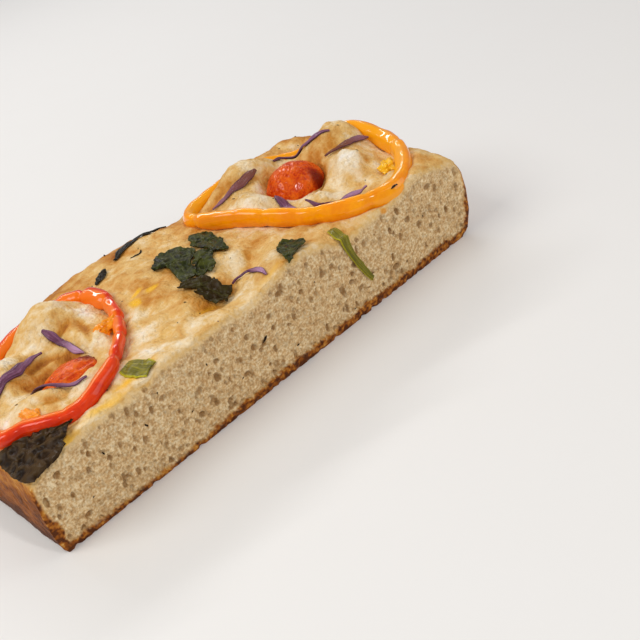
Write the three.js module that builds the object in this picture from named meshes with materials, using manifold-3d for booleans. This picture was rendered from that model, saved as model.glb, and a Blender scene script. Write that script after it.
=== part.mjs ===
// Half of a pan of focaccia, cut lengthwise: puffed bread with two bell pepper rings, cherry
// tomatoes, onion, leek and herb leaves baked into the top crust. It rests on its bottom crust.
// Millimetres, +Z up. Places on the slab are [x, y]: x along the cut face from its left end,
// y back from the cut face. The whole is centred at the end.

import * as THREE from 'three';
import { mergeVertices } from 'three/addons/utils/BufferGeometryUtils.js';
import Module from 'manifold-3d';

const wasm = await Module();
wasm.setup();

// The slab
const length = 180;
const depth = 85;
const height = 31;
const edgeDrop = 7;
const edgeRound = 14;
const cornerRadius = 9;
const rightBulge = 3.2;
const leftBulge = 1.2;
const backBulge = 2;
const crustCells = { along: 46, across: 23 };
const endTighten = 0.054; // how much closer the cells lie towards the ends
const backTighten = 0.9; // the same towards the back, as an exponent
const rimWave = 0.35; // waviness of the crusted sides

// Clearances between the bread and what lies on it or is bedded in it
const bedGap = 0.35;
const restGap = 0.7;

// Outward lean of a crusted side, as [part of the side's height, part of its bulge]
const sideProfile = [[0, -0.8], [0.08, 0.1], [0.3, 0.85], [0.6, 1], [0.85, 0.75], [1, 0.25]];

// Swells and dimples of the risen dough: place, half widths and rise
const swells = [
  { at: [4, 0], size: [11, 20], rise: -1.5 },
  { at: [52, 0], size: [8, 8], rise: 1.8 },
  { at: [70, 0], size: [11, 12], rise: 1.6 },
  { at: [103, -3], size: [14, 16], rise: 5 },
  { at: [127, 0], size: [8, 8], rise: -1.2 },
  { at: [161, 2], size: [9, 11], rise: 3 },
  { at: [176, 13], size: [9, 11], rise: 3 },
  { at: [20, 80], size: [30, 18], rise: -8 },
  { at: [43.5, 57], size: [10.5, 10], rise: 8.5 },
  { at: [47, 37], size: [5, 8], rise: 3 },
  { at: [20, 46], size: [9, 8], rise: 4.5 },
  { at: [20, 23], size: [9, 6], rise: 3.5 },
  { at: [32, 30.5], size: [10, 6.5], rise: -8 },
  { at: [36, 17], size: [6, 4], rise: 2.5 },
  { at: [76, 44], size: [12, 20], rise: 2.5 },
  { at: [82, 13], size: [9, 5], rise: -3 },
  { at: [97, 19], size: [6, 5], rise: -2.5 },
  { at: [97, 33], size: [10, 9], rise: 2 },
  { at: [137, 62.5], size: [14, 9], rise: 9 },
  { at: [170, 63], size: [11, 9], rise: -7 },
  { at: [114, 80], size: [16, 10], rise: -4 },
  { at: [124, 44], size: [8, 9], rise: 6 },
  { at: [170.5, 47.5], size: [14.5, 12], rise: 11 },
  { at: [159, 29], size: [8, 8], rise: 7 },
  { at: [137, 25], size: [6, 6], rise: 3.5 },
  { at: [145, 45], size: [9, 8.5], rise: -7 },
];
const swellFlatness = 2.5;
const ripple = 0.45;
const tomatoWrinkle = 0.25;
const ringWave = { high: 0.3, pace: 0.8 };
const leafCurl = 0.35;

const crumb = { color: 0xd8c9ac, roughness: 0.9, metalness: 0 };
const redSkin = { color: 0xd9381c, roughness: 0.3, metalness: 0 };
const orangeSkin = { color: 0xf08a12, roughness: 0.3, metalness: 0 };
const tomatoSkin = { color: 0xc8441e, roughness: 0.35, metalness: 0 };
const onionSkin = { color: 0x6b4a6e, roughness: 0.45, metalness: 0 };
const herbLeaf = { color: 0x232c18, roughness: 0.5, metalness: 0 };
const driedLeaf = { color: 0x2a211b, roughness: 0.55, metalness: 0 };
const leekGreen = { color: 0x6d7331, roughness: 0.5, metalness: 0 };

const clamp = THREE.MathUtils.clamp;

// Height of the top crust over a place on the slab
function crustAt(x, y) {
  let z = height;
  for (const { at, size, rise } of swells) {
    const away = Math.hypot((x - at[0]) / size[0], (y - at[1]) / size[1]);
    z += rise * Math.exp(-(away ** swellFlatness));
  }
  z += ripple * Math.sin(0.5 * x + 1.4 * Math.sin(0.29 * y)) * Math.sin(0.56 * y + Math.sin(0.23 * x));
  const nearEnd = clamp(1 - Math.min(x + leftBulge, length + rightBulge - x) / edgeRound, 0, 1);
  const nearBack = clamp(1 - (depth - y) / edgeRound, 0, 1);
  const near = Math.min(Math.hypot(nearEnd, nearBack), 1);
  return z - edgeDrop * (1 - Math.sqrt(1 - near * near));
}

// A point off the slab's surface. Where y is negative the place runs down the cut face instead.
function offSurface([x, y], away) {
  if (y >= 0) {
    const slopeX = crustAt(x + 0.5, y) - crustAt(x - 0.5, y);
    const slopeY = y > 1 ? crustAt(x, y + 0.5) - crustAt(x, y - 0.5) : 0;
    const normal = new THREE.Vector3(-slopeX, -slopeY, 1).normalize();
    return new THREE.Vector3(x, y, crustAt(x, y)).addScaledVector(normal, away);
  }
  return new THREE.Vector3(x, -away, crustAt(x, 0) + away + y);
}

function geometryFrom(points, triangles) {
  const geometry = new THREE.BufferGeometry();
  const coordinates = points.flatMap((p) => [p.x, p.y, p.z]);
  geometry.setAttribute('position', new THREE.Float32BufferAttribute(coordinates, 3));
  geometry.setIndex(triangles);
  return geometry;
}

function toSolid(geometry) {
  const bare = geometry.clone();
  bare.deleteAttribute('normal');
  bare.deleteAttribute('uv');
  const merged = mergeVertices(bare);
  return new wasm.Manifold(new wasm.Mesh({
    numProp: 3,
    vertProperties: new Float32Array(merged.attributes.position.array),
    triVerts: new Uint32Array(merged.index.array),
  }));
}

function toGeometry(solid) {
  const mesh = solid.getMesh();
  const geometry = new THREE.BufferGeometry();
  geometry.setAttribute('position', new THREE.BufferAttribute(mesh.vertProperties, 3));
  geometry.setIndex(new THREE.BufferAttribute(mesh.triVerts, 1));
  return geometry;
}

// A fixed sequence of numbers from 0 to 1, the same in every run
let seed = 7;
function random() {
  seed = (seed * 16807) % 2147483647;
  return seed / 2147483647;
}

// The bread: a grid for the top crust, bulged sides, a plain cut face and a flat bottom
function breadGeometry() {
  const { along, across } = crustCells;
  const points = [];
  const triangles = [];
  const row = along + 1;
  for (let j = 0; j <= across; j++) {
    const y = depth * Math.sin((Math.PI / 2) * (j / across) ** backTighten);
    const intoCorner = Math.max(y - (depth - cornerRadius), 0);
    const inset = cornerRadius - Math.sqrt(cornerRadius ** 2 - intoCorner ** 2);
    const left = inset - leftBulge * sideProfile.at(-1)[1];
    const right = length - inset + rightBulge * sideProfile.at(-1)[1];
    for (let i = 0; i <= along; i++) {
      const t = i / along;
      const x = left + (right - left) * (t - endTighten * Math.sin(2 * Math.PI * t));
      points.push(new THREE.Vector3(x, y, crustAt(x, y)));
    }
  }
  for (let j = 0; j < across; j++) {
    for (let i = 0; i < along; i++) {
      const a = j * row + i;
      triangles.push(a, a + 1, a + row + 1, a, a + row + 1, a + row);
    }
  }
  // The crusted edge from the front right corner round the back to the front left corner
  const rim = [];
  for (let j = 0; j <= across; j++) rim.push(j * row + along);
  for (let i = along - 1; i >= 0; i--) rim.push(across * row + i);
  for (let j = across - 1; j >= 0; j--) rim.push(j * row);
  let upper = rim;
  for (let k = sideProfile.length - 2; k >= 0; k--) {
    const [level, lean] = sideProfile[k];
    const lower = rim.map((index, n) => {
      const top = points[index];
      const sideways = n <= across ? rightBulge : leftBulge;
      const before = points[rim[Math.max(n - 1, 0)]];
      const after = points[rim[Math.min(n + 1, rim.length - 1)]];
      const out = new THREE.Vector2(after.y - before.y, before.x - after.x).normalize();
      if (n === 0 || n === rim.length - 1) out.set(Math.sign(out.x), 0);
      const wave = n === 0 || n === rim.length - 1 ? 0 : rimWave * Math.sin(0.9 * n + 2 * k);
      const change = lean - sideProfile.at(-1)[1];
      const shift = new THREE.Vector2(out.x * sideways, out.y * backBulge).multiplyScalar(change);
      const place = new THREE.Vector2(top.x, top.y).add(shift).addScaledVector(out, level > 0 ? wave : 0);
      points.push(new THREE.Vector3(place.x, place.y, top.z * level));
      return points.length - 1;
    });
    for (let n = 0; n < rim.length - 1; n++) {
      triangles.push(upper[n], lower[n], lower[n + 1], upper[n], lower[n + 1], upper[n + 1]);
    }
    upper = lower;
  }
  // The cut face and the bottom are flat outlines, filled with triangles
  const columns = sideProfile.length - 1;
  const base = row * (across + 1);
  const cutFace = [];
  for (let i = 0; i <= along; i++) cutFace.push(i);
  for (let k = 0; k < columns; k++) cutFace.push(base + k * rim.length);
  for (let k = columns - 1; k >= 0; k--) cutFace.push(base + (k + 1) * rim.length - 1);
  const seen = cutFace.map((index) => new THREE.Vector2(points[index].x, points[index].z));
  for (const [a, b, c] of THREE.ShapeUtils.triangulateShape(seen, [])) {
    triangles.push(cutFace[a], cutFace[b], cutFace[c]);
  }
  const plan = upper.map((index) => new THREE.Vector2(points[index].x, points[index].y));
  for (const [a, b, c] of THREE.ShapeUtils.triangulateShape(plan, [])) {
    triangles.push(upper[a], upper[c], upper[b]);
  }
  return geometryFrom(points, triangles);
}

// Open pores that the cut runs through: the large ones as they lie, the small ones scattered
const largePores = [
  { x: 94, z: 28, wide: 4, tall: 3 },
  { x: 64, z: 17, wide: 3, tall: 5 },
  { x: 57, z: 17, wide: 3, tall: 3 },
  { x: 45, z: 23, wide: 4, tall: 3 },
  { x: 74, z: 11, wide: 4, tall: 3 },
  { x: 112, z: 24, wide: 4, tall: 3 },
  { x: 118, z: 14, wide: 3, tall: 4 },
  { x: 143, z: 8, wide: 5, tall: 3 },
  { x: 153, z: 21, wide: 4, tall: 3 },
  { x: 163, z: 13, wide: 3, tall: 3 },
  { x: 165, z: 27, wide: 4, tall: 3 },
  { x: 126, z: 10, wide: 3, tall: 3 },
];
const smallPores = 24;

function poreSolids() {
  const pores = largePores.map(({ x, z, wide, tall }) => {
    const pore = new THREE.IcosahedronGeometry(0.5, 1);
    pore.scale(wide, 3, tall);
    pore.translate(x, 0.2, z);
    return toSolid(pore);
  });
  for (let n = 0; n < smallPores; n++) {
    const x = 6 + (length - 12) * ((n + random()) / smallPores);
    const z = 5 + (height - 11) * random();
    const size = 1.6 + 1.2 * random();
    const pore = new THREE.IcosahedronGeometry(0.55, 0);
    pore.scale(size * 1.2, size, size);
    pore.translate(x, 0.1, z);
    pores.push(toSolid(pore));
  }
  return wasm.Manifold.union(pores);
}

// A pepper ring: an upright band of flesh with its skin outward, round a closed path.
// A third number in the path is how much deeper the ring lies there.
function ringGeometry({ path, wall, tall, sunk }, grow = 0) {
  const curve = new THREE.CatmullRomCurve3(
    path.map(([x, y, deeper = 0]) => new THREE.Vector3(x, y, -deeper)), true, 'centripetal');
  const rows = 40;
  const w = wall / 2 + grow;
  const h = tall / 2 + grow;
  const section = [
    [-w, -h * 0.5], [0, -h], [w, -h * 0.5], [w * 1.15, h * 0.1], [w * 0.8, h * 0.8], [w * 0.1, h],
    [-w * 0.8, h * 0.7],
  ];
  const centres = curve.getSpacedPoints(rows).slice(0, rows);
  const levels = centres.map((p) => crustAt(p.x, p.y) + p.z);
  const points = [];
  const triangles = [];
  for (let k = 0; k < rows; k++) {
    const next = centres[(k + 1) % rows];
    const last = centres[(k + rows - 1) % rows];
    const out = new THREE.Vector2(next.y - last.y, last.x - next.x).normalize();
    const near = [-2, -1, 0, 1, 2].map((n) => levels[(k + n + rows) % rows]);
    const level = near.reduce((sum, z) => sum + z, 0) / near.length;
    const middle = level + tall / 2 - sunk + ringWave.high * Math.sin(ringWave.pace * k);
    for (const [across, up] of section) {
      points.push(new THREE.Vector3(
        centres[k].x + out.x * across, centres[k].y + out.y * across, middle + up));
    }
  }
  const sides = section.length;
  for (let k = 0; k < rows; k++) {
    for (let s = 0; s < sides; s++) {
      const a = k * sides + s;
      const b = k * sides + (s + 1) % sides;
      const c = ((k + 1) % rows) * sides + (s + 1) % sides;
      const d = ((k + 1) % rows) * sides + s;
      triangles.push(a, c, b, a, d, c);
    }
  }
  return geometryFrom(points, triangles);
}

// Ribs of pith are lumps that stand inward from a ring's wall
function ringSolid(ring, grow = 0) {
  const lumps = ring.ribs.map(({ at, size }) => {
    const lump = new THREE.IcosahedronGeometry(1, 1);
    lump.scale(size[0] + grow, size[1] + grow, size[2] + grow);
    lump.translate(at[0], at[1], crustAt(at[0], at[1]) + 0.6);
    return toSolid(lump);
  });
  return wasm.Manifold.union([toSolid(ringGeometry(ring, grow)), ...lumps]);
}

const redRing = {
  path: [
    [5.3, 18.5], [10.5, 16.2], [14.8, 12.2], [18.5, 9.2], [23, 8.2], [28.5, 9.2], [34.5, 11.7], [41, 15.2],
    [47.3, 21], [52.5, 27.6], [56.8, 35], [60.2, 43.5], [61, 53], [57, 62], [48, 66.5, 2.5],
    [37, 66.5, 2.5], [26, 62, 0.5], [14, 56], [6.5, 47.5], [4.5, 37], [4, 26.5],
  ],
  wall: 3.7,
  tall: 5.2,
  sunk: 2,
  ribs: [
    { at: [52.2, 34.4], size: [5, 3, 2.2] },
    { at: [14.2, 17.6], size: [2.4, 4.4, 2.1] },
  ],
};
const orangeRing = {
  path: [
    [112.3, 48.5], [115.8, 40], [121.2, 29.6], [127.2, 19.4], [134.2, 10.6], [141.6, 5.4, 0.4],
    [149.6, 3.8, 1.2], [157.5, 4.8, 1.8], [166.3, 10.6, 1.8], [173.8, 19.2, 1], [178.6, 32.5, 0.5],
    [177, 48, 3.5], [169.5, 60.5, 4.2], [157, 69.5, 3],
    [141, 71.5, 3.5], [127, 71, 4], [116, 69, 2.5], [110.4, 64, 0.5], [110.4, 56.5],
  ],
  wall: 4.2,
  tall: 7,
  sunk: 2,
  ribs: [
    { at: [164.2, 16], size: [5.2, 3.4, 2.1] },
  ],
};

// A cherry tomato half, baked down into its dimple and wrinkled
function tomatoGeometry({ centre, size }, grow = 0) {
  const tomato = new THREE.SphereGeometry(1, 16, 10);
  const position = tomato.attributes.position;
  for (let n = 0; n < position.count; n++) {
    const p = new THREE.Vector3().fromBufferAttribute(position, n);
    const wrinkle = tomatoWrinkle * Math.sin(7 * p.x + 3 * p.z) * Math.sin(8 * p.y + 2 * p.z) * (1 - p.z * p.z);
    const out = p.clone().multiplyScalar(wrinkle + grow);
    p.multiply(new THREE.Vector3(...size)).add(out);
    position.setXYZ(n, centre[0] + p.x, centre[1] + p.y, centre[2] + p.z);
  }
  return tomato;
}

const tomatoLeft = { centre: [34.2, 29.4, 24.8], size: [11.6, 8.5, 7] };
const tomatoRight = { centre: [145.4, 45.5, 28.8], size: [11.3, 10, 9.4] };

// A strip laid along a path, with its width at start, middle and end
function stripGeometry({ path, width, thick, rows = 12, lift = 0 }) {
  const curve = new THREE.CatmullRomCurve3(
    path.map(([x, y]) => new THREE.Vector3(x, y, 0)), false, 'centripetal');
  const section = [[-1, 0.4], [-0.5, 0], [0.5, 0], [1, 0.4], [0.5, 1], [-0.5, 1]];
  const points = [];
  const triangles = [];
  for (let k = 0; k <= rows; k++) {
    const t = k / rows;
    const centre = curve.getPointAt(t);
    const along = curve.getTangentAt(t);
    const span = t < 0.5
      ? THREE.MathUtils.lerp(width[0], width[1], t * 2)
      : THREE.MathUtils.lerp(width[1], width[2], t * 2 - 1);
    for (const [across, up] of section) {
      const place = [
        centre.x - along.y * across * span / 2,
        centre.y + along.x * across * span / 2,
      ];
      points.push(offSurface(place, restGap + lift + thick * up));
    }
  }
  const sides = section.length;
  for (let k = 0; k < rows; k++) {
    for (let s = 0; s < sides; s++) {
      const a = k * sides + s;
      const b = k * sides + (s + 1) % sides;
      triangles.push(a, b, b + sides, a, b + sides, a + sides);
    }
  }
  const last = rows * sides;
  for (let s = 1; s < sides - 1; s++) {
    triangles.push(0, s + 1, s, last, last + s, last + s + 1);
  }
  return geometryFrom(points, triangles);
}

const onionStrips = {
  onion_left_back: {
    path: [[39, 49.5], [40, 45], [40.8, 40.5], [41.3, 36.5], [42.5, 33.5]], width: [3.2, 2.6, 1.2], thick: 1.2,
  },
  onion_left_side: {
    path: [[10, 37.5], [17.5, 39.5], [23.5, 40.7], [29.5, 43.8], [34, 44.3]], width: [3.4, 2.8, 1.4],
    thick: 1.3,
  },
  onion_left_front: {
    path: [[20.6, 30], [22.4, 25], [25.8, 20.8], [29.8, 17.8], [33.5, 15.9]], width: [3, 2.2, 1.2],
    thick: 1.1, lift: 0.4,
  },
  onion_middle: {
    path: [[89, 16], [92.5, 16.3], [95, 14], [95.3, 8.5], [94.5, 3.5]], width: [1.2, 2, 1.4], thick: 1.2,
  },
  onion_right_back: {
    path: [[148.6, 59.6], [154.3, 62], [158.6, 58.8], [161, 52.6], [163.4, 47.8], [166.3, 44.4]],
    width: [1.4, 2.4, 1],
    thick: 1.2,
  },
  onion_right_side: {
    path: [[157.8, 39.3], [161.5, 38], [166, 36.7], [170.5, 36.3], [175.2, 36.4]], width: [1.6, 2.8, 1.2],
    thick: 1.2, lift: 0.6,
  },
  onion_right_left: {
    path: [[138.6, 57.3], [134, 56.6], [128.8, 57.2], [122.5, 58.2], [117.6, 58.9]], width: [2.6, 2.4, 1],
    thick: 1.1,
  },
  onion_right_front: {
    path: [[132.2, 41.5], [130.8, 36], [129.2, 30.5], [128.6, 26]], width: [2.4, 4.2, 3], thick: 1.1,
  },
  onion_right_inner: {
    path: [[132.8, 23.6], [133.5, 19], [136.9, 15.2], [142.2, 12.2], [149.3, 11]],
    width: [1.4, 2.6, 1.8], thick: 1.2, lift: 0.4,
  },
};
const leekStrips = {
  leek_slice: {
    path: [[43, 11.8], [44.5, 6.5], [46, 1.4]], width: [6.5, 8, 6.5], thick: 1.2, rows: 8,
  },
  leek_strip: {
    path: [[125.6, 7], [124, 0], [125, -6], [128, -13], [131.3, -20]], width: [4.8, 3, 2.2],
    thick: 1.1, rows: 22,
  },
  herb_stem_back: {
    path: [[104.5, 72], [100, 75], [94, 76], [87, 74], [79.5, 69.2]], width: [2, 3, 2.6], thick: 0.8,
  },
  herb_curl_back: {
    path: [[73.8, 66], [70, 63.5], [66.5, 61]], width: [2, 3.2, 2], thick: 0.8, rows: 6,
  },
};

// A thin wavy leaf: rings of points from its middle to its outline, the same on both faces.
// The outline goes round clockwise.
function leafGeometry({
  outline, rings = 3, around = 28, thick = 0.7, lift = 0.2, wave = leafCurl, teeth = 0,
}) {
  const corners = outline.map(([x, y]) => new THREE.Vector3(x, y, 0));
  const edge = new THREE.CatmullRomCurve3(corners, true, 'centripetal').getSpacedPoints(around);
  const middle = new THREE.Vector3();
  for (let n = 0; n < around; n++) middle.addScaledVector(edge[n], 1 / around);
  const points = [];
  for (const face of [0, 1]) {
    for (let r = 0; r <= rings; r++) {
      for (let n = 0; n < (r === 0 ? 1 : around); n++) {
        const tooth = r === rings && n % 2 === 0 ? 1 - teeth : 1;
        const place = middle.clone().lerp(edge[n], (r / rings) * tooth);
        const crinkle = Math.sin(0.9 * place.x + 0.8 * place.y) * Math.sin(1.1 * place.y - 0.4 * place.x);
        const curl = wave * (1 + crinkle) * (r / rings);
        points.push(offSurface([place.x, place.y], restGap + lift + curl + face * thick));
      }
    }
  }
  const triangles = [];
  const perFace = 1 + rings * around;
  const addFace = (from, flip) => {
    const push = (a, b, c) => triangles.push(from + a, from + (flip ? c : b), from + (flip ? b : c));
    for (let n = 0; n < around; n++) {
      const m = (n + 1) % around;
      push(0, 1 + n, 1 + m);
      for (let r = 0; r < rings - 1; r++) {
        const inner = 1 + r * around;
        const outer = inner + around;
        push(inner + n, outer + n, outer + m);
        push(inner + n, outer + m, inner + m);
      }
    }
  };
  addFace(0, false);
  addFace(perFace, true);
  const lowEdge = 1 + (rings - 1) * around;
  const highEdge = perFace + lowEdge;
  for (let n = 0; n < around; n++) {
    const m = (n + 1) % around;
    triangles.push(lowEdge + n, highEdge + m, lowEdge + m, lowEdge + n, highEdge + n, highEdge + m);
  }
  return geometryFrom(points, triangles);
}

const leaves = {
  parsley_upper: {
    outline: [[97.5, 46], [101.5, 56], [105.6, 54.5], [107, 47], [106, 40], [103, 33], [99, 32.5], [99.5, 40]],
    teeth: 0.12,
  },
  parsley_middle: {
    outline: [
      [82.5, 49], [86, 55.5], [90.5, 58.5], [94, 54], [95.8, 46], [96.3, 36], [95, 30], [91.5, 27.5],
      [88.5, 29.5], [86, 35.5], [83.5, 41.5],
    ],
    teeth: 0.14,
    around: 34,
  },
  parsley_lower: {
    outline: [[76.5, 28], [81.5, 28.3], [85.5, 24.5], [87.3, 17], [84.5, 12], [80, 13], [77.5, 18]],
    teeth: 0.12,
  },
  parsley_small: {
    outline: [[104.5, 9], [108.5, 14], [113, 15.5], [115, 11.5], [113.5, 6.5], [109, 2.5], [104, 1.5]],
    teeth: 0.16,
  },
  basil_leaf: {
    outline: [
      [1, 14], [7, 11.5], [11.5, 7.5], [17, 3.5], [20, 1], [15, 0.5], [10, -2], [5, -3], [1, -1.5], [0.2, 6],
    ],
    rings: 4,
    around: 30,
    lift: 0.5,
    wave: 0.3,
  },
};

function mesh(name, geometry, look) {
  const material = new THREE.MeshStandardMaterial(look);
  const object = new THREE.Mesh(geometry, material);
  object.name = name;
  return object;
}

const beds = [
  ringSolid(redRing, bedGap),
  ringSolid(orangeRing, bedGap),
  toSolid(tomatoGeometry(tomatoLeft, bedGap)),
  toSolid(tomatoGeometry(tomatoRight, bedGap)),
];
const bread = toSolid(breadGeometry()).subtract(wasm.Manifold.union([...beds, poreSolids()]));

const focaccia = new THREE.Group();
focaccia.add(mesh('bread', toGeometry(bread), crumb));
focaccia.add(mesh('pepper_ring_red', toGeometry(ringSolid(redRing)), redSkin));
focaccia.add(mesh('pepper_ring_orange', toGeometry(ringSolid(orangeRing)), orangeSkin));
focaccia.add(mesh('tomato_left', tomatoGeometry(tomatoLeft), tomatoSkin));
focaccia.add(mesh('tomato_right', tomatoGeometry(tomatoRight), tomatoSkin));
for (const [name, strip] of Object.entries(onionStrips)) {
  focaccia.add(mesh(name, stripGeometry(strip), onionSkin));
}
for (const [name, strip] of Object.entries(leekStrips)) {
  const look = name.startsWith('leek') ? leekGreen : driedLeaf;
  focaccia.add(mesh(name, stripGeometry(strip), look));
}
for (const [name, leaf] of Object.entries(leaves)) {
  const look = name.startsWith('basil') ? driedLeaf : herbLeaf;
  focaccia.add(mesh(name, leafGeometry(leaf), look));
}

// The origin is the middle of the bottom crust
for (const piece of focaccia.children) {
  piece.position.set(-length / 2, -depth / 2, 0);
}

export default focaccia;
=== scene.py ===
import math
import random

import bmesh
import bpy
import numpy as np
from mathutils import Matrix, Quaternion, Vector, noise


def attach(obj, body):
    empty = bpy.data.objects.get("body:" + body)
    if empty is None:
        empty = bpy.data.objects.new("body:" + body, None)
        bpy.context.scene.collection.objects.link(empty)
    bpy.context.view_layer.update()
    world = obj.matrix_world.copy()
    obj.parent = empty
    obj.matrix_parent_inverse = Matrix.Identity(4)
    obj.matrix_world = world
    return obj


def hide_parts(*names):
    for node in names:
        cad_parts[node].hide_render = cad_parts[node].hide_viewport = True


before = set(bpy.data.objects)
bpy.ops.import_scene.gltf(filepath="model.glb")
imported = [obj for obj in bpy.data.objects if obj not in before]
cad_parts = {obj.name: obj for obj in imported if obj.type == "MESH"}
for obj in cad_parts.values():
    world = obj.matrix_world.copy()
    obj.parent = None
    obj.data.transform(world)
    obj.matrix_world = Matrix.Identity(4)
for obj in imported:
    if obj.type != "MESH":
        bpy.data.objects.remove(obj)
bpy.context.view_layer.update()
print("frame loaded with", len(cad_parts), "solids")

# Places are in mm: x from the left end, y back from the cut face, z up from the table
mm = 0.001
middleOfSlab = (90, 42.5, 0)

view = {
    "stand": (-0.15057, -0.27719, 0.19424),
    "looksAlong": (0.48739, 0.68710, -0.53883),
    "rollDegrees": -17.12,
    "lens": 59.76,
}

bpy.ops.object.camera_add(location=view["stand"])
camera = bpy.context.object
camera.name = "viewCamera"
camera.rotation_mode = "QUATERNION"
aim = Vector(view["looksAlong"]).to_track_quat("-Z", "Y")
camera.rotation_quaternion = aim @ Quaternion((0, 0, 1), math.radians(view["rollDegrees"]))
camera.data.lens = view["lens"]
camera.data.clip_start = 0.01
bpy.context.scene.camera = camera
print("camera set")


def deselectAll():
    if bpy.context.object and bpy.context.object.mode != "OBJECT":
        bpy.ops.object.mode_set(mode="OBJECT")
    bpy.ops.object.select_all(action="DESELECT")


def pickOnly(piece):
    deselectAll()
    piece.select_set(True)
    bpy.context.view_layer.objects.active = piece


def readPlaces(piece):
    places = np.zeros(len(piece.data.vertices) * 3)
    piece.data.vertices.foreach_get("co", places)
    return places.reshape(-1, 3)


def movePlaces(piece, places):
    inFrame = (np.asarray(places) - middleOfSlab) * mm
    piece.data.vertices.foreach_set("co", inFrame.ravel())
    piece.data.update()


def giveValues(piece, name, values):
    attribute = piece.data.attributes.get(name) or piece.data.attributes.new(name, "FLOAT", "POINT")
    attribute.data.foreach_set("value", np.asarray(values, np.float32).ravel())


def faceOutwards(piece):
    pickOnly(piece)
    bpy.ops.object.mode_set(mode="EDIT")
    bpy.ops.mesh.select_all(action="SELECT")
    bpy.ops.mesh.normals_make_consistent(inside=False)
    bpy.ops.object.mode_set(mode="OBJECT")


def applyModifier(piece, kind, **settings):
    pickOnly(piece)
    modifier = piece.modifiers.new(kind.lower(), kind)
    for name, value in settings.items():
        setattr(modifier, name, value)
    bpy.ops.object.modifier_apply(modifier=modifier.name)


def finishPiece(piece, name, node, material, smoothDegrees=50):
    piece.name = name
    piece.data.name = name
    pickOnly(piece)
    bpy.ops.object.shade_smooth_by_angle(angle=math.radians(smoothDegrees))
    piece.data.materials.clear()
    piece.data.materials.append(material)
    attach(piece, "root")
    if node:
        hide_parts(node)
    return piece


def grain(points, size, seed=0.0):
    # smooth noise from -1 to 1 whose lumps are that many mm across
    return np.array([noise.noise(Vector(p) / size + Vector((seed, -seed, seed))) for p in points])


def grainAt(x, y, size, seed=0.0):
    x, y = np.broadcast_arrays(np.asarray(x, float), np.asarray(y, float))
    points = np.column_stack([x.ravel(), y.ravel(), np.zeros(x.size)])
    return grain(points, size, seed).reshape(x.shape)


def turned(points, turn):
    x, y, z = points.T
    return np.column_stack([
        x * math.cos(turn) - y * math.sin(turn), x * math.sin(turn) + y * math.cos(turn), z,
    ])


def layered(x, y, layers):
    # noise of several sizes together; each layer is size, share and seed
    return sum(share * grainAt(x, y, size, seed) for size, share, seed in layers)


def ease(value):
    value = np.clip(value, 0, 1)
    return value * value * (3 - 2 * value)


def smoothPath(corners, count, closed=False):
    # a rounded line through the corners, as evenly spaced points
    p = np.asarray(corners, float)
    if closed:
        p = np.vstack([p[-1], p, p[:2]])
    else:
        p = np.vstack([2 * p[0] - p[1], p, 2 * p[-1] - p[-2]])
    line = []
    for a, b, c, d in zip(p, p[1:], p[2:], p[3:]):
        t1 = np.linalg.norm(b - a) ** 0.5
        t2 = t1 + np.linalg.norm(c - b) ** 0.5
        t3 = t2 + np.linalg.norm(d - c) ** 0.5
        t = np.linspace(t1, t2, 25)[:-1, None]
        ab = a + (b - a) * t / t1
        bc = b + (c - b) * (t - t1) / (t2 - t1)
        cd = c + (d - c) * (t - t2) / (t3 - t2)
        abc = ab + (bc - ab) * t / t2
        bcd = bc + (cd - bc) * (t - t1) / (t3 - t1)
        line.append(abc + (bcd - abc) * (t - t1) / (t2 - t1))
    line = np.vstack([*line, p[-2] if not closed else p[1]])
    gone = np.concatenate([[0], np.cumsum(np.linalg.norm(np.diff(line, axis=0), axis=1))])
    at = np.linspace(0, gone[-1], count + 1)[:-1] if closed else np.linspace(0, gone[-1], count)
    return np.column_stack([np.interp(at, gone, line[:, k]) for k in range(line.shape[1])])


def distanceTo(path, x, y, count, closed=False):
    near = np.full(np.shape(x), 99.0)
    for atX, atY in smoothPath(path, count, closed):
        near = np.minimum(near, np.hypot(x - atX, y - atY))
    return near


slab = {
    "length": 180,
    "depth": 85,
    "height": 31,
    "edgeDrop": 7,
    "edgeRound": 14,
    "cornerRadius": 9,
    "rightBulge": 3.2,
    "leftBulge": 1.2,
    "backBulge": 2,
    "swellFlatness": 2.5,
    "ripple": 0.45,
    # outward lean of a crusted side: part of the side's height, part of its bulge
    "sideProfile": [(0, -0.8), (0.08, 0.1), (0.3, 0.85), (0.6, 1), (0.85, 0.75), (1, 0.25)],
    # swells and dimples: x, y, half widths and rise
    "swells": [
        (4, 0, 11, 20, -1.5), (52, 0, 8, 8, 1.8), (70, 0, 11, 12, 1.6), (103, -3, 14, 16, 5),
        (127, 0, 8, 8, -1.2), (161, 2, 9, 11, 3), (176, 13, 9, 11, 3), (20, 80, 30, 18, -8),
        (43.5, 57, 10.5, 10, 8.5), (47, 37, 5, 8, 3), (20, 46, 9, 8, 4.5), (20, 23, 9, 6, 3.5),
        (32, 30.5, 10, 6.5, -8), (36, 17, 6, 4, 2.5), (76, 44, 12, 20, 2.5), (82, 13, 9, 5, -3),
        (97, 19, 6, 5, -2.5), (97, 33, 10, 9, 2), (137, 62.5, 14, 9, 9), (170, 63, 11, 9, -7),
        (114, 80, 16, 10, -4), (124, 44, 8, 9, 6), (170.5, 47.5, 14.5, 12, 11), (159, 29, 8, 8, 7),
        (137, 25, 6, 6, 3.5), (145, 45, 9, 8.5, -7),
    ],
    # soft lumps of the skin, as size across and height
    "lumps": [(8, 0.45), (3.2, 0.2)],
}


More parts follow.
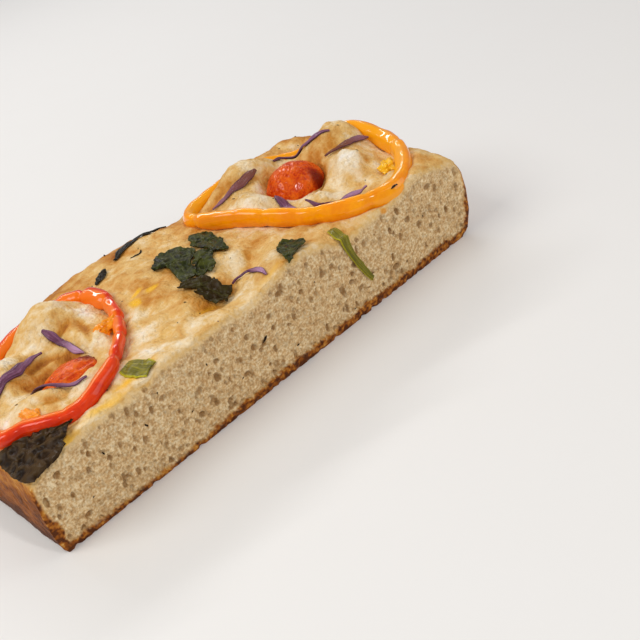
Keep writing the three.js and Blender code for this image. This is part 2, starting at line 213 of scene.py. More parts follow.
def crustHeight(x, y):
    x, y = np.broadcast_arrays(np.asarray(x, float), np.asarray(y, float))
    z = np.full(x.shape, float(slab["height"]))
    for atX, atY, wide, deep, rise in slab["swells"]:
        away = np.hypot((x - atX) / wide, (y - atY) / deep)
        z = z + rise * np.exp(-(away ** slab["swellFlatness"]))
    z = z + slab["ripple"] * np.sin(0.5 * x + 1.4 * np.sin(0.29 * y)) * np.sin(0.56 * y + np.sin(0.23 * x))
    toEnd = np.minimum(x + slab["leftBulge"], slab["length"] + slab["rightBulge"] - x)
    nearEnd = np.clip(1 - toEnd / slab["edgeRound"], 0, 1)
    nearBack = np.clip(1 - (slab["depth"] - y) / slab["edgeRound"], 0, 1)
    near = np.minimum(np.hypot(nearEnd, nearBack), 1)
    return z - slab["edgeDrop"] * (1 - np.sqrt(1 - near ** 2))


def skinHeight(x, y):
    # the risen dough with the soft lumps of its skin
    return crustHeight(x, y) + sum(high * grainAt(x, y, size, 3.1 + size) for size, high in slab["lumps"])


def offCrust(x, y, away):
    # points that far off the crust; where y is negative they run down the cut face
    x, y, away = np.broadcast_arrays(np.asarray(x, float), np.asarray(y, float), np.asarray(away, float))
    back = np.maximum(y, 0)
    slopeX = crustHeight(x + 0.5, back) - crustHeight(x - 0.5, back)
    slopeY = np.where(back > 1, crustHeight(x, back + 0.5) - crustHeight(x, back - 0.5), 0)
    normal = np.stack([-slopeX, -slopeY, np.ones_like(slopeX)], -1)
    normal /= np.linalg.norm(normal, axis=-1, keepdims=True)
    onTop = np.stack([x, back, skinHeight(x, back)], -1) + normal * away[..., None]
    onFront = np.stack([x, -away, crustHeight(x, 0) + away + y], -1)
    return np.where((y >= 0)[..., None], onTop, onFront)


def tint(hexColour):
    # a colour as seen on screen, as the shader's own linear numbers
    parts = [int(hexColour[k:k + 2], 16) / 255 for k in (0, 2, 4)]
    return tuple(c / 12.92 if c <= 0.04045 else ((c + 0.055) / 1.055) ** 2.4 for c in parts) + (1.0,)


def makeGrainGroup():
    # two sizes of noise on the piece's own coordinates, blended into one tone
    group = bpy.data.node_groups.new("fineGrain", "ShaderNodeTree")
    for name, value in (("Size", 100.0), ("Fine Size", 900.0), ("Fine Share", 0.4)):
        socket = group.interface.new_socket(name=name, in_out="INPUT", socket_type="NodeSocketFloat")
        socket.default_value = value
    group.interface.new_socket(name="Tone", in_out="OUTPUT", socket_type="NodeSocketFloat")
    nodes, links = group.nodes, group.links
    given, put = nodes.new("NodeGroupInput"), nodes.new("NodeGroupOutput")
    place = nodes.new("ShaderNodeTexCoord")
    coarse, fine = nodes.new("ShaderNodeTexNoise"), nodes.new("ShaderNodeTexNoise")
    coarse.inputs["Detail"].default_value = 3
    fine.inputs["Detail"].default_value = 2
    for texture, size in ((coarse, "Size"), (fine, "Fine Size")):
        links.new(place.outputs["Object"], texture.inputs["Vector"])
        links.new(given.outputs[size], texture.inputs["Scale"])
    blend = nodes.new("ShaderNodeMix")
    links.new(given.outputs["Fine Share"], blend.inputs["Factor"])
    links.new(coarse.outputs["Fac"], blend.inputs["A"])
    links.new(fine.outputs["Fac"], blend.inputs["B"])
    links.new(blend.outputs["Result"], put.inputs["Tone"])
    return group


grainGroup = makeGrainGroup()


class Finish:
    # a material under construction: its nodes, its Principled shader and short ways to join them
    def __init__(self, name, **fixed):
        self.material = bpy.data.materials.new(name)
        self.material.use_nodes = True
        self.nodes = self.material.node_tree.nodes
        self.links = self.material.node_tree.links
        self.shader = self.nodes["Principled BSDF"]
        for socket, value in fixed.items():
            self.shader.inputs[socket.replace("_", " ")].default_value = value

    def feed(self, socket, value):
        if isinstance(value, bpy.types.NodeSocket):
            self.links.new(value, socket)
        else:
            socket.default_value = value

    def grain(self, size, fineSize, fineShare=0.4):
        node = self.nodes.new("ShaderNodeGroup")
        node.node_tree = grainGroup
        for name, value in (("Size", size), ("Fine Size", fineSize), ("Fine Share", fineShare)):
            node.inputs[name].default_value = value
        return node.outputs["Tone"]

    def value(self, attribute):
        node = self.nodes.new("ShaderNodeAttribute")
        node.attribute_name = attribute
        return node.outputs["Fac"]

    def sum(self, a, b, scale=1.0):
        # a + b x scale
        node = self.nodes.new("ShaderNodeMath")
        node.operation = "MULTIPLY_ADD"
        self.feed(node.inputs[0], b)
        self.feed(node.inputs[1], scale)
        self.feed(node.inputs[2], a)
        return node.outputs[0]

    def spread(self, value, low, high, newLow=0.0, newHigh=1.0):
        node = self.nodes.new("ShaderNodeMapRange")
        node.interpolation_type = "SMOOTHSTEP"
        for name, given in zip(("Value", "From Min", "From Max", "To Min", "To Max"),
                               (value, low, high, newLow, newHigh)):
            self.feed(node.inputs[name], given)
        return node.outputs["Result"]

    def ramp(self, value, stops):
        node = self.nodes.new("ShaderNodeValToRGB")
        colours = node.color_ramp.elements
        while len(colours) < len(stops):
            colours.new(0.5)
        for element, (place, colour) in zip(colours, stops):
            element.position = place
            element.color = tint(colour)
        self.feed(node.inputs["Fac"], value)
        return node.outputs["Color"]

    def mix(self, share, a, b):
        node = self.nodes.new("ShaderNodeMix")
        node.data_type = "RGBA"
        self.feed(node.inputs["Factor"], share)
        self.feed(node.inputs[6], tint(a) if isinstance(a, str) else a)
        self.feed(node.inputs[7], tint(b) if isinstance(b, str) else b)
        return node.outputs[2]

    def bump(self, height, strength, distance):
        node = self.nodes.new("ShaderNodeBump")
        node.inputs["Strength"].default_value = strength
        node.inputs["Distance"].default_value = distance
        self.links.new(height, node.inputs["Height"])
        self.links.new(node.outputs["Normal"], self.shader.inputs["Normal"])

    def paint(self, colour):
        self.links.new(colour, self.shader.inputs["Base Color"])

    def gloss(self, roughness):
        self.links.new(roughness, self.shader.inputs["Roughness"])


bread = {
    # edge loops cut along x, y and z, as repeated subdivisions
    "cells": ((0, (14, 14)), (1, (9, 10)), (2, (5, 5))),
    # how much closer the loops stand near the back and the ends
    "backTighten": 0.08,
    "endTighten": 0.054,
    # the beds of the rings, and the dough puckered beside them
    "grooveDeep": 1.1,
    "grooveWide": 2.6,
    "puckerHigh": 0.5,
    "puckerAway": 4.5,
    "puckerWide": 1.8,
    # skin and torn clods: size, height
    "skin": (1.6, 0.16),
    "skinFolds": (2.6, 0.2),
    "clods": (3.2, 1.3),
    "smallClods": (1.5, 0.6),
    # the top edge of the cut is rounded over that many mm
    "edgeSoft": 2.6,
    "edgeShare": 0.3,
    # noise as size, share, seed
    "mottle": [(15, 0.1, 1.7), (5, 0.13, 2.9), (2.4, 0.1, 27.0)],
    "ragged": [(5, 0.8, 12.5), (1.7, 0.7, 3.3), (0.8, 0.6, 14.1)],
    "crumbly": [(0.9, 0.1, 7.7), (3.4, 0.16, 1.9)],
    "beads": [(1.3, 1, 9.4), (0.7, 0.7, 16.2)],
    # how browned, from 0 to 1
    "crustToast": 0.37,
    "rimToast": 0.2,
    "sideToast": 0.58,
    "leftToast": 0.24,
    "bandToast": 0.8,
    "edgeToast": 0.32,
    "bottomToast": 0.86,
    "smallPores": {"count": 2200, "seed": 11, "least": 0.28, "rarity": 3.6, "narrow": 0.9, "spread": 1.3},
    # the large pores: x, z, wide, tall, deep
    "largePores": [
        (94, 28, 4, 2.6, 0.8), (64, 17, 2.6, 4.4, 0.7), (57, 17, 2.6, 2.8, 0.6), (45, 23, 3, 2.4, 0.6),
        (74, 11, 3.4, 2.4, 0.7), (112, 24, 3, 2.6, 0.6), (118, 14, 2.4, 3.4, 0.7), (143, 8, 4, 2.6, 0.8),
        (153, 21, 3.2, 2.4, 0.7), (163, 13, 2.6, 2.4, 0.6), (165, 27, 3.2, 2.6, 0.7),
        (126, 10, 2.6, 2.6, 0.6),
    ],
    # creases and the painted shade in them: places, half width, depth, how dark the painted shade is
    "creases": [
        ([(49.9, 47), (48.9, 42.5), (47.8, 38.6), (46, 33.7)], 1.6, 1.3, 0.6),
        ([(47.7, 48.4), (44.7, 46.6), (41.8, 46.4), (39.3, 45.6)], 1.3, 1.1, 0.5),
        ([(26.8, 40.4), (31, 42), (34.6, 41.2), (37.3, 39.2), (39.7, 36.3)], 2.2, 1.5, 0.9),
        ([(26.5, 37), (28.7, 36.9), (31, 37.3)], 1.6, 1.2, 0.8),
        ([(29.9, 46.2), (26.3, 44.7), (22.6, 42.7)], 1.4, 1, 0.5),
        ([(22.1, 35.1), (24.9, 36.1), (27.2, 36.3)], 1.5, 1, 0.6),
        ([(17.5, 19.8), (19.4, 19.4), (22.3, 18.3), (25.3, 18), (29.4, 20.4)], 1.2, 0.9, 0.5),
        ([(103.2, 23.9), (100.7, 21.9), (98.9, 19.1)], 1.2, 0.9, 0.3),
        ([(72.5, 14), (76.6, 15.4), (80.2, 15.1), (84.7, 15.8), (87.4, 15.4)], 2.2, 0.9, 0.35),
        ([(118.3, 62), (125, 61.5), (132.1, 57), (139.4, 55)], 1.7, 1.1, 0.45),
        ([(142, 56), (136, 52), (133.5, 46)], 1.5, 1.1, 0.6),
        ([(157, 47), (155.5, 41), (152, 36.4), (145, 33)], 1.8, 1.4, 0.7),
        ([(139, 32), (137.8, 26), (134, 22)], 1.3, 1, 0.5),
        ([(166, 32), (163.5, 25), (158, 20.5)], 1.4, 1.1, 0.4),
    ],
    # height of the browned band over the bottom, along the cut face
    "bottomBand": [(0, 2.6), (45, 1.8), (60, 2.4), (75, 3.2), (178, 3.8)],
    # floury white tops: x, y, reach, share
    "flour": [
        (157, 28, 8, 1), (148.6, 25.5, 4, 0.8), (139, 27, 5, 0.9), (134, 38, 5, 0.8), (121, 40, 7, 0.7),
        (134.4, 52.3, 3, 0.7), (120.2, 47.5, 5, 0.8), (145, 20, 5, 0.7), (53.3, 49, 4, 0.9),
        (35.6, 50, 6, 0.8), (37.9, 41, 2.5, 0.8), (45, 32.8, 4, 0.9), (28.2, 17.5, 6, 0.8),
        (9.4, 24.8, 4, 0.8), (22, 47, 6, 0.8), (57, 20, 5, 0.8), (23.9, 3.8, 4, 0.6), (43.4, 2, 5, 0.6),
        (98.5, 25.2, 5, 0.9), (88.2, 9.1, 5, 0.8), (52, 10, 5, 0.7), (41.7, 7.2, 4, 0.6), (60, 4, 5, 0.6),
        (163, 20, 5, 0.5), (104, 43, 6, 0.4), (62, 31, 4, 0.8), (68, 8, 5, 0.5), (178, 12, 5, 0.5),
        (178, 32, 6, 0.5), (183, 42, 9, 0.6), (137, 62.5, 7, 0.5), (170, 46, 7, 0.6), (150, 58, 5, 0.5),
        (125, 47, 6, 0.6), (33, 24, 4, 0.5), (17, 32, 6, 0.5), (47, 57, 6, 0.4),
    ],
    # well browned places: x, y, reach, share
    "brown": [
        (183, 68, 7, 0.4), (176, 80, 10, 0.6), (150, 84, 16, 0.3), (84, 36, 8, 0.35), (72, 30, 9, 0.3),
        (86, 20, 6, 0.45), (93, 80, 6, 0.6), (82, 74, 6, 0.6), (108, 77, 7, 0.6), (106, 60, 10, 0.35),
        (60, 84, 14, 0.5), (10, 84, 14, 0.5), (20.4, 36.8, 4, 0.3), (33, 37, 4, 0.25), (44.4, 47, 3, 0.3),
        (77, 16, 5, 0.4), (68, 48, 6, 0.3), (108.6, 25, 6, 0.35), (128, 66, 8, 0.15), (167, 44, 7, 0.15),
        (158, 55, 6, 0.15),
    ],
    # oil stains: x, y, half widths, share
    "oil": [
        (65.7, 37, 2, 2.6, 1), (69, 40.8, 2.6, 1.2, 0.9), (73, 37, 3, 1.6, 0.8), (42, 5, 9, 2.4, 0.8),
        (28, 2.5, 9, 2, 0.7), (60, 14, 6, 5, 0.3), (12, 1, 8, 2, 0.6), (76, 15, 7, 2, 0.4),
        (96, 3, 8, 2, 0.4),
    ],
    # orange juice that ran from the ring onto the cut: x, z under the crust, half widths
    "drip": (143.5, 1.2, 1.8, 1.2),
}


def ringDistance(x, y):
    return np.minimum(*[distanceTo([p[:2] for p in ring["path"]], x, y, 160, closed=True)
                        for ring in (redRing, orangeRing)])


def spots(x, y, places):
    total = np.zeros(np.shape(x))
    for atX, atY, reach, share in places:
        total = np.maximum(total, share * np.exp(-((np.hypot(x - atX, y - atY) / reach) ** 2)))
    return total


def creaseMap(x, y):
    # how deep the creases press in, and how much painted shade darkens them
    deepest, brown = np.zeros(np.shape(x)), np.zeros(np.shape(x))
    for path, wide, deep, share in bread["creases"]:
        near = distanceTo(path, x, y, 40) * (1 + 0.35 * grainAt(x, y, 2.4, 15.0))
        deepest = np.maximum(deepest, deep * np.exp(-((near / wide) ** 2)))
        brown = np.maximum(brown, 0.75 * share * np.exp(-((near / (0.85 * wide)) ** 2)))
    return deepest, brown


def crustRelief(x, y, flour, creased):
    # fine skin, torn clods where the crust stayed white, creases and the beds of the rings
    (skinSize, skinHigh), (foldSize, foldHigh) = bread["skin"], bread["skinFolds"]
    (clodSize, clodHigh), (smallSize, smallHigh) = bread["clods"], bread["smallClods"]
    fine = skinHigh * grainAt(x, y, skinSize, 5.2) + foldHigh * np.abs(grainAt(x, y, foldSize, 6.6))
    clods = clodHigh * np.abs(grainAt(x, y, clodSize, 17.3))
    clods = clods + smallHigh * np.abs(grainAt(x, y, smallSize, 19.1))
    near = ringDistance(x, y)
    groove = bread["grooveDeep"] * np.exp(-((near / bread["grooveWide"]) ** 2))
    beside = np.exp(-(((near - bread["puckerAway"]) / bread["puckerWide"]) ** 2))
    puckered = bread["puckerHigh"] * beside * (0.5 + grainAt(x, y, 3, 23.0))
    return fine + flour * clods + puckered - groove - creased


def selectEdgesAlong(piece, axis):
    bpy.ops.mesh.select_all(action="DESELECT")
    mesh = bmesh.from_edit_mesh(piece.data)
    for edge in mesh.edges:
        run = edge.verts[0].co - edge.verts[1].co
        edge.select_set(abs(run[axis]) > 1e-6)
    bmesh.update_edit_mesh(piece.data)


def selectFacesOn(piece, axis, level):
    bpy.ops.mesh.select_all(action="DESELECT")
    mesh = bmesh.from_edit_mesh(piece.data)
    for face in mesh.faces:
        face.select_set(all(abs(v.co[axis] - level) < 1e-5 for v in face.verts))
    bmesh.update_edit_mesh(piece.data)


def carvePores(x, z, top):
    # how deep each place of the cut face is carved, and how much painted shade darkens it inside the pores
    small = bread["smallPores"]
    chance = random.Random(small["seed"])
    pores = [(atX, atZ, wide / 2, tall / 2, deep) for atX, atZ, wide, tall, deep in bread["largePores"]]
    for _ in range(small["count"]):
        size = small["least"] + chance.random() ** small["rarity"]
        stretch = small["narrow"] + small["spread"] * chance.random()
        atX, atZ = slab["length"] * chance.random(), 1 + 38 * chance.random()
        deep = 0.15 + 0.7 * size * chance.random()
        pores.append((atX, atZ, size / stretch ** 0.5, size * stretch ** 0.5, deep))
    wobble = grainAt(x, z, 1.6, 4.4)
    deepest, dark = np.zeros(x.shape), np.zeros(x.shape)
    for atX, atZ, wide, tall, deep in pores:
        close = np.flatnonzero((np.abs(x - atX) < wide * 1.5) & (np.abs(z - atZ) < tall * 1.5))
        away = np.hypot((x[close] - atX) / wide, (z[close] - atZ) / tall) + 0.35 * wobble[close]
        bowl = np.sqrt(np.clip(1 - away ** 2, 0, 1))
        deepest[close] = np.maximum(deepest[close], deep * bowl)
        # painted shade: each pore is darkened inside, the deeper the darker
        dark[close] = np.maximum(dark[close], min(1.15 * deep, 0.85) * ease(1.4 * bowl))
    fade = ease(np.minimum(z, top - z) / 1.6)
    return deepest * fade, dark * fade


def blockOutBread():
    # a cube cut into even loops, twice as close along the cut face, with one plain face below
    deselectAll()
    bpy.ops.mesh.primitive_cube_add(size=1, location=(0.5, 0.5, 0.5))
    piece = bpy.context.object
    bpy.ops.object.transform_apply(location=True, rotation=True, scale=True)
    bpy.ops.object.mode_set(mode="EDIT")
    bpy.ops.mesh.select_mode(type="FACE")
    selectFacesOn(piece, 2, 0)
    bpy.ops.mesh.delete(type="FACE")
    bpy.ops.mesh.select_mode(type="EDGE")
    for axis, cuts in bread["cells"]:
        for number in cuts:
            selectEdgesAlong(piece, axis)
            bpy.ops.mesh.subdivide(number_cuts=number)
    bpy.ops.mesh.select_mode(type="FACE")
    selectFacesOn(piece, 1, 0)
    bpy.ops.mesh.subdivide(number_cuts=1)
    bpy.ops.mesh.select_mode(type="EDGE")
    bpy.ops.mesh.select_all(action="DESELECT")
    bpy.ops.mesh.select_non_manifold()
    bpy.ops.mesh.edge_face_add()
    bpy.ops.object.mode_set(mode="OBJECT")
    print("bread blocked out with", len(piece.data.vertices), "points")
    return piece


def openCut(u, w, x, z, top, left, right):
    # the cut face: open crumb inside, a browned band along the bottom and both ends
    bandX, bandHeight = zip(*bread["bottomBand"])
    ragged, beads = layered(x, z, bread["ragged"]), layered(x, z, bread["beads"])
    fromBottom = np.interp(x, bandX, bandHeight) * (1 + 0.45 * ragged) - z
    fromLeft = (0.4 + 1.8 * ease((0.75 - w) / 0.5)) * (1 + 0.5 * ragged) - (x - left)
    fromRight = (0.5 + 1.9 * ease((0.85 - w) / 0.5)) * (1 + 0.6 * ragged) - (right - x)
    browned = ease(0.5 + np.maximum(np.maximum(fromBottom, fromLeft), fromRight) / 1.3)
    toRim = np.minimum(np.minimum(top - z, 1.3 * (x - left)), 0.8 * (right - x))
    rind = ease((3.4 + 1.8 * ragged - toRim) / 5)
    underEdge = ease((top - z + 1.1 * ragged) / 2.4)
    deep, poreShade = carvePores(x, z, top)
    fromSides = np.minimum(np.minimum(w, 1 - w) * slab["height"], np.minimum(u, 1 - u) * slab["length"])
    inFace = ease(fromSides / 0.8)
    crusty = -0.3 * np.abs(beads) - 0.1
    carved = (deep * (1 - browned) + layered(x, z, bread["crumbly"]) + crusty * browned) * inFace
    nicks = 1.6 * np.maximum(grainAt(x, x * 0, 2.6, 21.0), 0) * ease(1 - z / 1.8)
    soft = bread["edgeSoft"]
    rounded = bread["edgeShare"] * soft * np.clip(1 - (top - z) / soft, 0, 1) ** 2
    return carved + nicks + rounded, browned, beads, rind, poreShade * (1 - browned), (1 - browned) * underEdge


def bakeBread(material):
    piece = blockOutBread()
    # across, back and up as shares of the slab
    u, v, w = readPlaces(piece).T
    onTop, onFront, onBack, onBottom = w > 0.9999, v < 0.0001, v > 0.9999, w < 0.0001
    onEnd = (u < 0.0001) | (u > 0.9999)
    length, depth, corner = slab["length"], slab["depth"], slab["cornerRadius"]
    levels, leans = zip(*slab["sideProfile"])
    topLean = leans[-1]
    y = depth * (v + bread["backTighten"] * np.sin(np.pi * v))
    inset = corner - np.sqrt(np.maximum(corner ** 2 - np.maximum(y - (depth - corner), 0) ** 2, 0))
    left = inset - slab["leftBulge"] * topLean
    right = length - inset + slab["rightBulge"] * topLean
    x = left + (right - left) * (u - bread["endTighten"] * np.sin(2 * np.pi * u))
    flour = spots(x, y, bread["flour"]) * (0.75 + 0.5 * grainAt(x, y, 2.6, 25.0))
    creased, creaseShade = creaseMap(x, y)
    soft = bread["edgeSoft"]
    top = skinHeight(x, y) + crustRelief(x, y, flour, creased)
    top = top - bread["edgeShare"] * soft * np.clip(1 - y / soft, 0, 1) ** 2
    z = w * top
    lean = np.interp(w, levels, leans) - topLean
    x = x + lean * (slab["rightBulge"] * u - slab["leftBulge"] * (1 - u))
    y = y + lean * slab["backBulge"] * v

    # the baked sides are finely blistered
    places = np.column_stack([x, y, z])
    side = (onEnd | onBack) & ~onFront & ~onTop
    blister = 0.35 * grain(places, 4, 2.2) + 0.15 * grain(places, 1.6, 6.1)
    x = x + np.where(side & onEnd, blister * np.sign(u - 0.5), 0)
    y = y + np.where(side & onBack, blister, 0)
    rightEdge = right + lean * slab["rightBulge"]
    carved, browned, beads, rind, poreShade, crumb = openCut(u, w, x, z, top, left, rightEdge)
    y = y + np.where(onFront, carved, 0)
    movePlaces(piece, np.column_stack([x, y, z]))

    # how browned, how floury, how oily each place is; the browning also carries painted shade in the
    # creases
    toEdge = np.minimum(np.minimum(x + 1, 183 - x), 86 - y)
    rimToast = bread["rimToast"] * ease(1 - toEdge / 9) * ease(y / 12)
    topToastAndShade = bread["crustToast"] + layered(x, y, bread["mottle"]) + rimToast
    # painted shade: the creases are darkened through the toast ramp
    topToastAndShade = topToastAndShade + 0.35 * spots(x, y, bread["brown"]) + 0.5 * creaseShade - 0.3 * flour
    sideToast = bread["sideToast"] + 0.26 * ease(1 - w / 0.5) - 0.2 * ease((w - 0.7) / 0.3)
    sideToast = sideToast + 0.14 * grain(places, 6, 4.1) + 0.16 * grain(places, 1.4, 8.8)
    sideToast = sideToast + bread["leftToast"] * ease(1 - (x + 1) / 15)
    bandToast = bread["bandToast"] + 0.4 * beads + 0.1 * ease(1 - z / 1.6)
    frontToast = bread["edgeToast"] + (bandToast - bread["edgeToast"]) * browned
    toastAndShade = np.where(onTop, topToastAndShade, np.where(onFront, frontToast, sideToast))
    toastAndShade = np.where(onTop & (onEnd | onBack), 0.5 * (topToastAndShade + sideToast), toastAndShade)
    toastAndShade = np.where(onTop & onFront, np.minimum(topToastAndShade, bread["edgeToast"]), toastAndShade)
    toastAndShade = np.where(onBottom, bread["bottomToast"], toastAndShade)
    oil = np.zeros(len(x))
    for atX, atY, wide, deep, share in bread["oil"]:
        away = ((x - atX) / wide) ** 2 + ((y - atY) / deep) ** 2
        oil = np.maximum(oil, share * np.exp(-away * (1 + 0.5 * grainAt(x, y, 1.6, 31.0))))
    dripX, dripDown, dripWide, dripTall = bread["drip"]
    drip = np.exp(-(((x - dripX) / dripWide) ** 2) - ((top - z - dripDown) / dripTall) ** 2)
    giveValues(piece, "toastAndShade", toastAndShade)
    giveValues(piece, "crumb", np.where(onFront & ~onTop & ~onBottom, crumb, 0))
    for name, values in (("rind", rind), ("poreShade", poreShade), ("drip", drip)):
        giveValues(piece, name, np.where(onFront, values, 0))
    for name, values in (("oil", oil), ("flour", flour)):
        giveValues(piece, name, np.where(onTop, values, 0))
    faceOutwards(piece)
    return finishPiece(piece, "baked_bread", "bread", material, 55)


def breadFinish():
    finish = Finish("bakedBread", Specular_IOR_Level=0.16)
    broad = finish.grain(90, 520, 0.4)
    skin = finish.grain(380, 950, 0.55)
    toastAndShade = finish.sum(finish.value("toastAndShade"), finish.sum(broad, -0.5), 0.5)
    toastAndShade = finish.sum(toastAndShade, finish.sum(skin, -0.5), 0.35)
    # crust colour from browning, with the painted shade of the creases
    crust = finish.ramp(toastAndShade, [
        (0.0, "f6ecdc"), (0.18, "edd7b0"), (0.36, "dcb26c"),
        (0.55, "c48432"), (0.76, "985414"), (0.95, "582a08"),
    ])
    crust = finish.mix(finish.spread(finish.value("oil"), 0.15, 0.75, 0, 0.85), crust, "efb608")
    crumbTone = finish.grain(380, 1300, 0.65)
    crumb = finish.ramp(crumbTone, [(0.35, "be935f"), (0.45, "d3ac78"), (0.53, "e3c493"), (0.64, "f3dcb2")])
    patches = finish.grain(140, 420, 0.5)
    crumb = finish.mix(finish.spread(patches, 0.48, 0.66, 0, 0.3), crumb, "bb935f")
    # the finest pores are not carved: painted shade darkens small cells
    place = finish.nodes.new("ShaderNodeTexCoord")
    stretch = finish.nodes.new("ShaderNodeMapping")
    stretch.inputs["Scale"].default_value = (760, 300, 430)
    finish.links.new(place.outputs["Object"], stretch.inputs["Vector"])
    cells = finish.nodes.new("ShaderNodeTexVoronoi")
    cells.inputs["Scale"].default_value = 1
    finish.links.new(stretch.outputs["Vector"], cells.inputs["Vector"])
    # painted shade in the finest pores
    tiny = finish.spread(cells.outputs["Distance"], 0.1, 0.34, 0.32, 0)
    crumb = finish.mix(tiny, crumb, "926a3c")
    # painted shade inside the carved pores
    crumb = finish.mix(finish.spread(finish.value("poreShade"), 0.1, 1, 0, 0.8), crumb, "82592a")
    crumb = finish.mix(finish.spread(finish.value("rind"), 0.0, 1, 0, 0.6), crumb, "f2d29a")
    colour = finish.mix(finish.value("crumb"), crust, crumb)
    colour = finish.mix(finish.spread(finish.value("drip"), 0.3, 0.8, 0, 0.8), colour, "e0911f")
    finish.paint(colour)
    finish.gloss(finish.spread(finish.value("oil"), 0.2, 1, 0.6, 0.3))
    rough = finish.sum(skin, cells.outputs["Distance"], finish.value("crumb"))
    rough = finish.sum(rough, skin, finish.value("flour"))
    finish.bump(finish.sum(rough, broad, 0.8), 0.85, 0.0012)
    return finish.material


redRing = {
    "path": [
        (5.3, 18.5, 0), (10.5, 16.2, 0), (14.8, 12.2, 0), (18.5, 9.2, 0), (23, 8.2, 0), (28.5, 9.2, 0),
        (34.5, 11.7, 0), (41, 15.2, 0), (47.3, 21, 0), (52.5, 27.6, 0), (56.8, 35, 0), (60.2, 43.5, 0),
        (61, 53, 0), (57, 62, 0), (48, 66.5, 2.5), (37, 66.5, 2.5), (26, 62, 0.5), (14, 56, 0),
        (6.5, 47.5, 0), (4.5, 37, 0), (4, 26.5, 0),
    ],
    "wall": 3.7,
    "tall": 5.2,
    "sunk": 2,
    # tufts of pith inside the ring: x, y, half sizes and turn
    "pith": [(52.2, 34.4, 5, 3, 2.2, 0.2), (14.2, 17.6, 2.4, 4.4, 2.1, 0)],
    # folds across the band: share of the way round, depth
    "folds": [(0.1, 0.4), (0.24, 0.6), (0.31, 0.7), (0.365, 0.9), (0.43, 0.6), (0.5, 0.9), (0.55, 0.6)],
    # how wide the band is along the way round
    "widths": [
        (0, 1.1), (0.14, 1.05), (0.22, 0.95), (0.29, 0.78), (0.36, 0.95), (0.42, 1.1), (0.47, 1.35),
        (0.53, 1.3), (0.6, 1), (0.7, 1.35), (0.8, 1.2), (1, 1.1),
    ],
    "drape": (0, 0, 0),
    "seed": 3.0,
}
orangeRing = {
    "path": [
        (112.3, 48.5, 0), (115.8, 40, 0), (121.2, 29.6, 0), (127.2, 19.4, 0), (134.2, 10.6, 0),
        (141.6, 5.4, 0.4), (149.6, 3.8, 1.2), (157.5, 4.8, 1.8), (166.3, 10.6, 1.8), (173.8, 19.2, 1),
        (178.6, 32.5, 0.2), (177, 48, 1.8), (169.5, 60.5, 3.6), (157, 69.5, 3), (141, 71.5, 3.3),
        (127, 71, 4), (116, 69, 2.5), (110.4, 64, 0.5), (110.4, 56.5, 0),
    ],
    "wall": 4.2,
    "tall": 7,
    "sunk": 2,
    "pith": [(164.2, 16, 5.2, 3.4, 2.1, 0.5)],
    "folds": [(0.03, 0.3), (0.085, 0.5), (0.17, 0.3), (0.25, 0.45), (0.44, 0.4), (0.95, 0.5)],
    "widths": [
        (0, 1), (0.2, 1), (0.27, 1.15), (0.34, 1.25), (0.42, 1.2), (0.5, 1.05), (0.58, 0.8), (0.7, 0.85),
        (0.85, 0.9), (1, 1),
    ],
    # where the band hangs over the edge: from, to, how far down
    "drape": (0.24, 0.44, 0.9),
    "seed": 9.0,
}
band = {
    "steps": 256,
    "sides": 28,
    "plump": 1.18,
    "uneven": 0.1,
    "tilt": 0.28,
    # soft rise and fall along the ring, and how far it stands off its bed
    "wave": 0.3,
    "bedGap": 0.25,
    # dents of the wilted skin, as size and depth, and the half width of a fold as a share of the way round
    "dents": (6, 0.36),
    "smallDents": (2.2, 0.07),
    "foldWide": 0.006,
    # outline of the band: outward and up, as shares of half the wall and half the height
    "outline": [(-1, -0.5), (0, -1), (1, -0.5), (1.15, 0.1), (0.8, 0.8), (0.1, 1), (-0.8, 0.7)],
}


